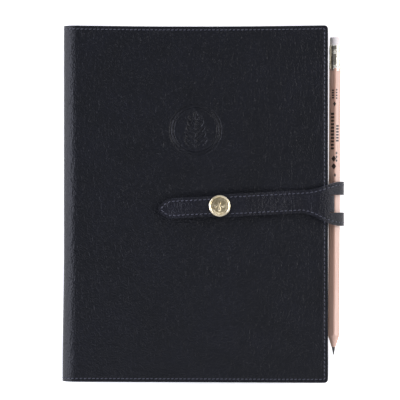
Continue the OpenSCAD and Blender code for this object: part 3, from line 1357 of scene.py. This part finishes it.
def seamRoute():
    # the seam of one half, laid out flat: along the head, down the fore edge, back at the tail
    inset, r = cover["seamInset"], max(cover["corner"] - cover["seamInset"], 0.8 * mm)
    end, top = wrapLength - inset, cover["halfHeight"] - inset
    route = [Vector((0.6 * mm, top, 0))]
    for k in range(7):
        a = math.pi / 2 * (1 - k / 6)
        route.append(
            Vector((end - r + r * math.cos(a), top - r + r * math.sin(a), 0))
        )
    back = [Vector((p.x, -p.y, 0)) for p in reversed(route)]
    return route + back


def makeSeams(thread):
    for half, side in (("front", 1), ("back", -1)):
        places = []
        for flat, along in walk(seamRoute(), stitch["pitch"]):
            ahead = flat + along * 0.1 * mm
            inner = cover["leather"] + cover["lining"]
            if wrapPoint(flat.x, side)[0].x > cover["flapLeft"]:
                inner += cover["flap"] + cover["card"]
            for sink, facing in ((0.02 * mm, 1), (inner, -1)):
                here, out = wrapPoint(flat.x, side)
                there, _ = wrapPoint(ahead.x, side)
                here.y, there.y = flat.y, ahead.y
                here, there = handShape(here), handShape(there)
                places.append((here - out * sink, there - here, out * facing))
        obj = sewStitches(half + "Stitches", places, thread)
        bendHalf(obj, side)
        putOn(obj, None, "thread", half + "_seam_thread", "spine_seam_thread")
    print("cover seams sewn")


snapPoint = middle("snap_cap")
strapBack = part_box("strap_base_face")
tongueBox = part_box("strap_tongue_face")
strap = {
    "ply": 1.1 * mm,
    "tip": tongueBox[0].x,
    "tipLength": 9 * mm,
    "tipCurve": 0.72,
    "border": 2.7 * mm,
    "stitchPitch": 2.7 * mm,
    "faceBevel": 0.48 * mm,
    "backingBevel": 0.22 * mm,
    "endBevel": 0.2 * mm,
    "tipWidth": 12.4 * mm,
    "width": 13.9 * mm,
    "forkWidth": 27 * mm,
    "forkLength": 26 * mm,
    "lean": math.radians(3),
    "stripHalf": 5.1 * mm,
    "slit": 0.3 * mm,
    "uncut": 0.8 * mm,
    "seam": 1.9 * mm,
    "rise": 2.4 * mm,
    "bow": 1.1 * mm,
    "bowLength": 6 * mm,
    "gap": 0.3 * mm,
    "slack": 0.3 * mm,
    "groove": 0.2 * mm,
    "capWidth": 13.1 * mm,
}
strap["hinge"] = cover["right"] + strap["slack"]
strap["out"] = strapBack[1].x
strap["fork"] = cover["right"] - 0.63 * strap["forkLength"]
strap["top"] = cover["top"] + strap["gap"] + 2 * strap["ply"]
strap["bandR"] = strap["out"] - strap["hinge"]


def strapMiddle(x):
    top = (strap["fork"] - snapPoint.x) * math.tan(strap["lean"]) / 2
    if x < strap["fork"]:
        return top - (strap["fork"] - x) * math.tan(strap["lean"])
    share = (x - strap["fork"]) / (cover["right"] - strap["fork"])
    return top * (1 - smoothStep(share))


def strapHalf(x):
    half = strap["tipWidth"] / 2
    half += (strap["width"] - strap["tipWidth"]) / 2 * smoothStep(
        (x - snapPoint.x + 8 * mm) / (16 * mm)
    )
    half += (strap["forkWidth"] - strap["width"]) / 2 * smoothStep(
        (x - strap["fork"]) / strap["forkLength"]
    )
    s = (x - strap["tip"]) / strap["tipLength"]
    if s < 1:
        half *= max(0.0, 1 - (1 - max(0.0, s)) ** 2) ** strap["tipCurve"]
    return half


def strapLift(x):
    # the strap climbs over the snap and comes down again at both sides
    before = (strap["fork"] - x) / (strap["fork"] - snapPoint.x - strap["capWidth"])
    after = (x - strap["tip"]) / (snapPoint.x - strap["tip"] - strap["capWidth"])
    return strap["rise"] * smoothStep(before) * smoothStep(after)


def strapTop(x):
    # the strap bows up off the front and then bends down round the pencil in one long curve
    crest = strap["hinge"] - strap["bowLength"]
    rise = strap["bow"] * smoothStep((x - crest + 9 * mm) / (9 * mm))
    share = max(0.0, x - crest) / (strap["out"] - crest)
    height = strap["top"] + strap["bow"] - (strap["top"] + strapBack[0].z) / 2
    return strap["top"] + strapLift(x) + rise - height * (1 - math.sqrt(1 - share * share))


def tonguePlace(x):
    step = 0.1 * mm
    slope = (strapTop(x + step) - strapTop(x - step)) / 2 / step
    return Vector((x, 0, strapTop(x))), Vector((-slope, 0, 1)).normalized()


def arcPlaces(centre, radius, start, end, count, facing=1):
    # places on an arc, angles in radians from +X towards +Z; facing -1 faces the centre
    found = []
    for k in range(count + 1):
        a = start + (end - start) * k / count
        out = Vector((math.cos(a), 0, math.sin(a)))
        found.append((centre + out * radius, out * facing))
    return found


def bandPlaces():
    r = strap["bandR"]
    root, crest = strap["hinge"] + strap["uncut"], strap["hinge"] - strap["bowLength"]
    wide = strap["out"] - crest
    midZ = (strap["top"] + strapBack[0].z) / 2
    height = strap["top"] + strap["bow"] - midZ
    places = []
    first = math.asin((root - crest) / wide)
    for k in range(15):
        a = first + (math.pi / 2 - first) * k / 14
        point = Vector((crest + wide * math.sin(a), 0, midZ + height * math.cos(a)))
        out = Vector((height * math.sin(a), 0, wide * math.cos(a))).normalized()
        places.append((point, out))
    low = Vector((strap["hinge"], 0, strapBack[0].z + r))
    return places + arcPlaces(low, r, 0, -math.pi / 2, 12)


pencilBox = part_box("pencil_barrel")
pencil = {
    "across": 6.8 * mm,
    "lean": math.radians(0.3),
    "headY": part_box("pencil_eraser")[1].y,
    "tipY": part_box("pencil_lead")[0].y,
    "eraser": 5.2 * mm,
    "ferrule": 15.3 * mm,
    "bareLead": 4.8 * mm,
    "cone": 8.6 * mm,
    "lead": 1.1 * mm,
}
pencil["radius"] = pencil["across"] / 2 / math.cos(math.radians(30))
pencil["x"] = strap["out"] - 2 * strap["ply"] - strap["slack"] - pencil["across"] / 2
pencil["z"] = (strap["top"] + strapBack[0].z) / 2
pencil["length"] = (pencil["headY"] - pencil["tipY"]) / math.cos(pencil["lean"])


def stripPlaces():
    # the middle strip bends down at the fore edge and dips in behind the pencil
    hold = Vector((pencil["x"], 0, pencil["z"]))
    holdR = pencil["radius"] + strap["slack"]
    reachX, reachZ = hold.x - strap["hinge"], hold.z - strap["top"]
    r = 0.9 * (reachX**2 + reachZ**2 - holdR**2) / 2 / (holdR - reachZ)
    bend = Vector((strap["hinge"], 0, strap["top"] - r))
    between = hold - bend
    leave = math.atan2(between.z, between.x) + math.acos((r + holdR) / between.length)
    start = math.acos(strap["uncut"] / r)
    upper = arcPlaces(bend, r, start, leave, 12)
    upper += arcPlaces(hold, holdR, leave + math.pi, math.pi, 5, -1)
    lower = []
    for point, out in reversed(upper[:-1]):
        flipped = Vector((point.x, 0, 2 * hold.z - point.z))
        lower.append((flipped, Vector((out.x, 0, -out.z))))
    return upper + lower


def strapLines():
    # mesh lines across the strap where it is widest: (distance from the edge or None, y)
    rootHalf = strapHalf(strap["hinge"] + strap["uncut"])
    edge = [d * mm for d in (0, 0.35, 1.1, 1.6, 1.9, 2.2, 2.7)]
    bandInner = strap["stripHalf"] + strap["slit"]
    seamHalf = rootHalf - strap["border"]
    inner = [seamHalf - (seamHalf - bandInner) * k / 3 for k in (1, 2, 3)]
    strip = [strap["stripHalf"] * k / 4 for k in (4, 3, 2, 1, 0)]
    half = [(d, rootHalf - d) for d in edge] + [(None, y) for y in inner + strip]
    lower = [(d, -y) for d, y in half]
    upper = [(d, y) for d, y in reversed(half[:-1])]
    return lower + upper, rootHalf


def strapY(line, x, rootHalf):
    distance, y = line
    half = strapHalf(x)
    border = strap["border"]
    squeeze = min(1.0, half / (2 * border))
    if distance is not None:
        return strapMiddle(x) + math.copysign(half - distance * squeeze, y)
    return strapMiddle(x) + y * (half - border * squeeze) / (rootHalf - border)


def strapSurface(name, depth):
    lines, rootHalf = strapLines()
    rootX = strap["hinge"] + strap["uncut"]
    tipXs = [strap["tip"] + strap["tipLength"] * (k / 14) ** 1.6 for k in range(14)]
    bodyXs = lineUp(strap["tip"] + strap["tipLength"], rootX, 1.5 * mm)
    xs = tipXs + [strap["tip"] + strap["tipLength"]] + bodyXs + [rootX]
    bandInner = strap["stripHalf"] + strap["slit"]

    def relief(y, x):
        half = max(strapHalf(x), 0.1 * mm)
        inset = half - abs(y - strapMiddle(x))
        groove = strap["groove"] * math.exp(-(((inset - strap["seam"]) / (0.3 * mm)) ** 2))
        return groove if depth == 0 else 0.0

    def tongue(column, row):
        x = xs[column]
        point, out = tonguePlace(x)
        y = strapY(lines[row], x, rootHalf)
        point = point - out * (depth + relief(y, x))
        point.y = y
        return point

    parts = [addGrid(name + "Tongue", len(xs), len(lines), tongue)]
    bands, strips = bandPlaces(), stripPlaces()
    upper = [line for line in lines if line[1] > bandInner - 1e-9]
    lower = [line for line in lines if line[1] < -bandInner + 1e-9]
    inner = [line for line in lines if abs(line[1]) < bandInner - 0.1 * mm]

    def bandPlace(chosen):
        def place(column, row):
            point, out = bands[column]
            x = point.x if column < len(bands) - 1 else strap["hinge"]
            half = strapHalf(max(x, rootX))
            distance, y = chosen[row]
            if distance is not None:
                newY = math.copysign(half - distance, y)
            else:
                border = strap["border"]
                share = (abs(y) - bandInner) / (rootHalf - border - bandInner)
                newY = math.copysign(bandInner + share * (half - border - bandInner), y)
            point = point - out * (depth + relief(newY + strapMiddle(x), max(x, rootX)))
            point.y = newY
            return point

        return place

    def stripPlace(column, row):
        point, out = strips[column]
        point = point - out * depth
        point.y = inner[row][1]
        return point

    parts.append(addGrid(name + "Upper", len(bands), len(upper), bandPlace(upper)))
    parts.append(addGrid(name + "Lower", len(bands), len(lower), bandPlace(lower)))
    parts.append(addGrid(name + "Strip", len(strips), len(inner), stripPlace))
    obj = joinObjects(name, parts)

    def weld():
        bpy.ops.mesh.remove_doubles(threshold=0.00006)

    editAll(obj, weld)
    return obj


def strapBend(obj):
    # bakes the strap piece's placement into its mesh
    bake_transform(obj)


def strapEdgeRoute(inset):
    # the line at that distance inside the edge, from one band round the tip to the other
    top = []
    stepCount = 90
    startX, endX = strap["tip"] + inset, strap["hinge"] + strap["uncut"]
    for k in range(stepCount + 1):
        x = startX + (endX - startX) * (k / stepCount) ** 1.5
        s = (x - startX) / (strap["tipLength"] - inset)
        half = strapHalf(max(x, strap["tip"] + strap["tipLength"])) - inset
        if s < 1:
            half *= max(0.0, 1 - (1 - s) ** 2) ** strap["tipCurve"]
        point, out = tonguePlace(x)
        top.append((x, half, point, out))
    return top


def makeStrapStitches(thread):
    rows = strapEdgeRoute(strap["seam"])
    upper = [Vector((p.x, strapMiddle(x) + half, p.z)) for x, half, p, _ in rows]
    lower = [Vector((p.x, strapMiddle(x) - half, p.z)) for x, half, p, _ in rows]
    for point, out in bandPlaces()[1:-4]:
        half = strapHalf(max(point.x, strap["hinge"])) - strap["seam"]
        upper.append(Vector((point.x, half, point.z)))
        lower.append(Vector((point.x, -half, point.z)))
    route = list(reversed(upper)) + lower[1:]
    places = []
    for point, along in walk(route, strap["stitchPitch"]):
        out = outOfStrap(point)
        if (Vector((point.x, point.y, 0)) - Vector((snapPoint.x, snapPoint.y, 0))).length < (
            strap["capWidth"] / 2 + 0.4 * mm
        ):
            continue
        places.append((point + out * 0.04 * mm, along, out))
    obj = sewStitches("strapStitches", places, thread)
    strapBend(obj)
    putOn(obj, None, "thread", "strap_tongue_thread", "strap_base_thread")


def outOfStrap(point):
    if point.x <= strap["hinge"] + strap["uncut"]:
        return tonguePlace(point.x)[1]
    flat = Vector((point.x, 0, point.z))
    return min(bandPlaces(), key=lambda place: (place[0] - flat).length)[1]


def makeAnchor(leather, edge, thread):
    # the strap's end, sewn under the back with a round stitched tail
    low, high = strapBack[0].z, cover["bottom"]
    left, right = strapBack[0].x, strap["hinge"] + strap["uncut"]
    xs = [left + strap["tipLength"] * (k / 12) ** 1.6 for k in range(13)]
    xs += lineUp(left + strap["tipLength"], right, 3 * mm) + [right]
    fractions = [-1, -0.94, -0.82, -0.6, -0.3, 0, 0.3, 0.6, 0.82, 0.94, 1]

    def half(x):
        s = (x - left) / strap["tipLength"]
        wide = strapHalf(max(x, strap["fork"]))
        return wide * (max(0.0, 1 - (1 - s) ** 2) ** strap["tipCurve"] if s < 1 else 1)

    for name, z in (("strapEndFace", low), ("strapEndBacking", low + strap["ply"])):

        def place(column, row):
            x = xs[column]
            return Vector((x, fractions[row] * half(x), z))

        obj = addGrid(name, len(xs), len(fractions), place)
        editAll(obj, bpy.ops.mesh.flip_normals, mergeDoubles)
        thickness = strap["ply"] if z == low else high - z
        finishShell(obj, thickness, strap["endBevel"], [leather, edge])
        putOn(obj, "back", "leather")
    route = []
    for k in range(40):
        x = left + strap["seam"] + (cover["right"] - 4 * mm - left) * (k / 39) ** 1.5
        s = (x - left - strap["seam"]) / (strap["tipLength"] - strap["seam"])
        y = strapHalf(max(x, strap["fork"])) - strap["seam"]
        y *= max(0.0, 1 - (1 - s) ** 2) ** strap["tipCurve"] if s < 1 else 1
        route.append(Vector((x, y, low)))
    far = [Vector((p.x, -p.y, p.z)) for p in route]
    whole = list(reversed(route)) + far[1:] + [route[-1]]
    down = Vector((0, 0, -1))
    places = [
        (point - down * 0.3 * mm, along, down) for point, along in walk(whole, strap["stitchPitch"])
    ]
    obj = sewStitches("strapEndStitches", places, thread)
    putOn(obj, "back", "thread")


def makeStrap(leather, edge, thread):
    face = strapSurface("strapFace", 0.0)
    finishShell(face, strap["ply"] * 0.97, strap["faceBevel"], [leather, edge], 3)
    strapBend(face)
    putOn(face, None, "leather", "strap_tongue_face", "strap_base_face")
    backing = strapSurface("strapBacking", strap["ply"])
    finishShell(backing, strap["ply"], strap["backingBevel"], [leather, edge])
    strapBend(backing)
    putOn(backing, None, "leather", "strap_tongue_backing", "strap_base_backing")
    makeAnchor(leather, edge, thread)
    makeStrapStitches(thread)
    print("strap made")


def makeSnapCap(brass, highlightRimBrass):
    low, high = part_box("snap_cap")
    r = (high.x - low.x) / 2
    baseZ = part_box("strap_tongue_face")[1].z
    cap = {
        "rim": 0.62 * mm,
        "rimR": r - 0.62 * mm,
        "well": 0.2 * mm,
        "dome": 0.6 * mm,
        "petals": 8,
    }
    profile = [(0.0, -0.2 * mm), (r - 0.9 * mm, -0.2 * mm), (r - 0.35 * mm, 0.0)]
    for k in range(9):
        a = math.radians(-40 + 190 * k / 8)
        profile.append(
            (
                cap["rimR"] + cap["rim"] * math.cos(a),
                0.55 * mm + cap["rim"] * math.sin(a),
            )
        )
    innerR = profile[-1][0] - 0.1 * mm
    wellZ = profile[-1][1] - cap["well"]
    for k in range(19):
        share = 1 - k / 18
        profile.append(
            (innerR * share, wellZ + cap["dome"] * (1 - share * share))
        )
    obj = spinProfile("snapCap", profile, 96)
    for material in (brass, highlightRimBrass):
        obj.data.materials.append(material)
    # the rim faces take the paler brass, a painted highlight on the rim
    for polygon in obj.data.polygons:
        outward = math.hypot(polygon.center.x, polygon.center.y) > innerR
        polygon.material_index = 1 if outward else 0
    for vertex in obj.data.vertices:
        radius = math.hypot(vertex.co.x, vertex.co.y)
        if vertex.co.z > 0.1 * mm and radius < innerR:
            share = radius / innerR
            turn = math.atan2(vertex.co.y, vertex.co.x)
            petal = max(0.0, math.cos(cap["petals"] * turn / 2)) ** 0.6
            reliefBand = math.sin(math.pi * min(1.0, share / 0.62)) if share < 0.62 else 0
            bead = smoothStep(1 - abs(share - 0.76) / 0.07)
            centre = smoothStep(1 - share / 0.14)
            vertex.co.z += 0.2 * mm * petal * reliefBand + 0.07 * mm * bead
            vertex.co.z += 0.1 * mm * centre
        vertex.co += Vector((snapPoint.x, snapPoint.y, baseZ + 0.02 * mm))
    putOn(obj, "tongue", "snap_brass", "snap_cap")
    print("snap cap made")


def layPencil(obj):
    # turns a piece made along Z, with the point at zero, to lie along the pencil's own line
    turn = Matrix.Rotation(-pencil["lean"], 4, "Z") @ Matrix.Rotation(-math.pi / 2, 4, "X")
    middleY = (pencil["headY"] + pencil["tipY"]) / 2
    offset = turn @ Vector((0, 0, pencil["length"] / 2))
    centreX = pencil["x"] + middleY * math.tan(pencil["lean"])
    centre = Vector((centreX, middleY, pencil["z"]))
    obj.data.transform(Matrix.Translation(centre - offset) @ turn)


def hexRadius(angle):
    # six flats with edges rounded by the lacquer; one edge is uppermost
    part = (angle + math.radians(30)) % math.radians(60) - math.radians(30)
    flat = pencil["across"] / 2 / math.cos(part)
    return min(flat, pencil["radius"] * 0.94)


def makePencil(cedar, bare, metal, rubber):
    start = pencil["bareLead"]
    ferruleStart = pencil["length"] - pencil["eraser"] - pencil["ferrule"]
    tipR = pencil["lead"] + 0.12 * mm
    slope = (pencil["radius"] - tipR) / pencil["cone"]
    stations = [start + pencil["cone"] * k / 26 * 1.1 for k in range(27)]
    stations += lineUp(stations[-1], ferruleStart + 1.5 * mm, 9 * mm)
    stations.append(ferruleStart + 1.5 * mm)
    count = 97

    def place(column, row):
        angle = 2 * math.pi * column / (count - 1)
        along = stations[row]
        radius = min(tipR + (along - start) * slope, hexRadius(angle))
        return Vector((radius * math.cos(angle), radius * math.sin(angle), along))

    barrel = addGrid("pencilBarrel", count, len(stations), place)
    editAll(barrel, mergeDoubles, facesOut)
    for material in (cedar, bare):
        barrel.data.materials.append(material)
    for polygon in barrel.data.polygons:
        centre = polygon.center
        onCone = math.hypot(centre.x, centre.y) < hexRadius(
            math.atan2(centre.y, centre.x)
        ) - 0.05 * mm
        polygon.material_index = 1 if onCone else 0
    activate(barrel)
    bpy.ops.object.shade_smooth_by_angle(angle=math.radians(25))
    layPencil(barrel)
    putOn(barrel, "pencil", "pencil_wood", "pencil_barrel")

    sleeve = pencil["across"] / 2 + 0.15 * mm
    profile = [(sleeve - 0.35 * mm, 0.0), (sleeve - 0.1 * mm, 0.0), (sleeve, 0.12 * mm)]
    ridges = [0.09, 0.15, 0.21, 0.7, 0.76, 0.82]
    steps = 110
    for k in range(3, steps):
        share = k / steps
        swell = sum(math.exp(-(((share - m) / 0.016) ** 2)) for m in ridges)
        profile.append((sleeve + 0.17 * mm * swell - 0.06 * mm, share * pencil["ferrule"]))
    profile += [
        (sleeve, pencil["ferrule"] - 0.1 * mm),
        (sleeve - 0.1 * mm, pencil["ferrule"]),
        (sleeve - 0.35 * mm, pencil["ferrule"]),
    ]
    ferrule = spinProfile("pencilFerrule", profile, 72)
    for vertex in ferrule.data.vertices:
        # a ring of crimp dents between the two bands of ridges
        share = vertex.co.z / pencil["ferrule"]
        turn = math.atan2(vertex.co.y, vertex.co.x)
        dent = math.exp(-(((share - 0.46) / 0.05) ** 2)) * max(0.0, math.cos(6 * turn)) ** 4
        scale = 1 - 0.07 * dent
        vertex.co.x *= scale
        vertex.co.y *= scale
        vertex.co.z += ferruleStart
    ferrule.data.materials.append(metal)
    layPencil(ferrule)
    putOn(ferrule, "pencil", "ferrule", "pencil_ferrule")

    eraserR = sleeve - 0.32 * mm
    top = pencil["length"]
    profile = [(0.0, ferruleStart + 8 * mm), (eraserR, ferruleStart + 8 * mm)]
    profile.append((eraserR, top - pencil["eraser"]))
    profile.append((eraserR + 0.08 * mm, top - 3.5 * mm))
    for k in range(10):
        a = math.pi / 2 * k / 9
        profile.append(
            (
                eraserR - 0.9 * mm + 0.9 * mm * math.cos(a),
                top - 0.9 * mm + 0.9 * mm * math.sin(a),
            )
        )
    profile.append((eraserR * 0.4, top))
    profile.append((0.0, top))
    eraser = spinProfile("pencilEraser", profile, 48)
    eraser.data.materials.append(rubber)
    layPencil(eraser)
    putOn(eraser, "pencil", "eraser", "pencil_eraser")
    print("pencil made")


pages = {
    "seed": 7,
    "folds": 4,
    "unevenEdge": 0.35 * mm,
    "unevenEnd": 0.25 * mm,
    "leafShare": 0.9,
}


def makePages(paper):
    rng = random.Random(pages["seed"])
    folds = pages["folds"]
    names = sorted(n for n in frame["nodes"] if n.startswith("signature_"))
    for name in names:
        low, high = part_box(name)
        thick = (high.z - low.z) / folds / 2
        parts = []
        for fold in range(folds):
            r = (high.z - low.z) / 2 - fold * thick
            centreZ = (low.z + high.z) / 2
            foldX = low.x + (high.z - low.z) / 2
            path = []
            edge = high.x - rng.uniform(0.0, pages["unevenEdge"])
            edgeBack = high.x - rng.uniform(0.0, pages["unevenEdge"])
            path.append(Vector((edge, 0, centreZ + r)))
            for k in range(9):
                a = math.pi / 2 + math.pi * k / 8
                path.append(Vector((foldX + r * math.cos(a), 0, centreZ + r * math.sin(a))))
            path.append(Vector((edgeBack, 0, centreZ - r)))
            trim = [rng.uniform(0.0, pages["unevenEnd"]) for _ in range(2)]
            ends = (low.y + trim[0], high.y - trim[1])

            def place(column, row):
                point = path[column].copy()
                point.y = ends[row]
                return point

            part = addGrid(f"{name}Fold{fold}", len(path), 2, place)
            parts.append(part)
        obj = joinObjects(name.replace("_", "") + "Pages", parts)
        obj.data.materials.append(paper)
        applyModifier(obj, "SOLIDIFY", thickness=thick * pages["leafShare"], offset=1)
        activate(obj)
        bpy.ops.object.shade_smooth_by_angle(angle=math.radians(40))
        turning = frame["record"]["behaviour"]["bodies"]["leaves"]
        body = "leaves" if name in turning else "back"
        putOn(obj, body, "pages", name)
    print("pages made")


def finishCadNode(name, material):
    obj = frame["nodes"][name]
    obj.data.materials.clear()
    obj.data.materials.append(material)


printed = {
    "wood": "#d6b09d",
    "woodDark": "#bf9481",
    "woodPale": "#e3c4b4",
    "axisX": pencil["x"],
    "axisZ": pencil["z"],
    "lean": math.tan(pencil["lean"]),
    "start": 16 * mm,
    "rows": [
        (0.1 * mm, 3.0 * mm, 0.0, 3.0 * mm, 0.75 * mm, True),
        (-0.6 * mm, 4.6 * mm, 4.6 * mm, 13.8 * mm, 1.5 * mm, True),
        (1.0 * mm, 2.3 * mm, 9.2 * mm, 16.1 * mm, 0.7 * mm, True),
        (-1.5 * mm, 2.1 * mm, 16.8 * mm, 39.9 * mm, 0.95 * mm, False),
        (1.5 * mm, 1.8 * mm, 21.6 * mm, 32.4 * mm, 0.85 * mm, False),
        (-0.3 * mm, 3.6 * mm, 43.2 * mm, 46.8 * mm, 0.9 * mm, True),
        (-1.3 * mm, 1.5 * mm, 48 * mm, 54 * mm, 0.7 * mm, False),
        (0.9 * mm, 1.7 * mm, 47.6 * mm, 54.4 * mm, 0.6 * mm, True),
    ],
}

makeCamera()
makeStudio()

leather = grainedLeather("grained cowhide", "#07090f", "#0f111a")
strapLeather = grainedLeather("grained strap cowhide", "#090a12", "#141622", 0.8 * mm)
flapLeather = grainedLeather("thin grained flap leather", "#090a0e", "#13141b", 0.8 * mm)
# edge paint for every cut edge, coloured paler as a painted highlight
edge = paintedEdge()
lining = suedeLining()
thread = waxedThread()
paper = writingPaper()
board = greyBoard()
brass = antiqueBrass("antique brass cap", "#c3b186", "#f3e6c4", 0.24, 0.38)
# the cap's own brass coloured paler, painted as the highlight along the rim
highlightRimBrass = antiqueBrass("polished brass rim", "#ead9ae", "#fff6df", 0.3, 0.42)
plainBrass = antiqueBrass("plain brass fitting", "#9a8048", "#cdb36e", 0.25, 0.42)
ferruleMetal = antiqueBrass("gold anodised aluminium", "#c0baa8", "#ece8dc", 0.2, 0.36)

makeCover(leather, edge, lining, board)
makeFlap("front", 1, flapLeather, edge)
makeFlap("back", -1, flapLeather, edge)
makeSeams(thread)
makeStrap(strapLeather, edge, thread)
makeSnapCap(brass, highlightRimBrass)
makePencil(lacqueredCedar(printed), bareCedar(printed), ferruleMetal, vinylEraser())
makePages(paper)
finishCadNode("pencil_lead", graphite())
finishCadNode("refill_binding", bookMuslin())
for node in ("snap_socket", "snap_stud", "snap_rivet"):
    finishCadNode(node, plainBrass)
finishCadNode("snap_spring", springWire())
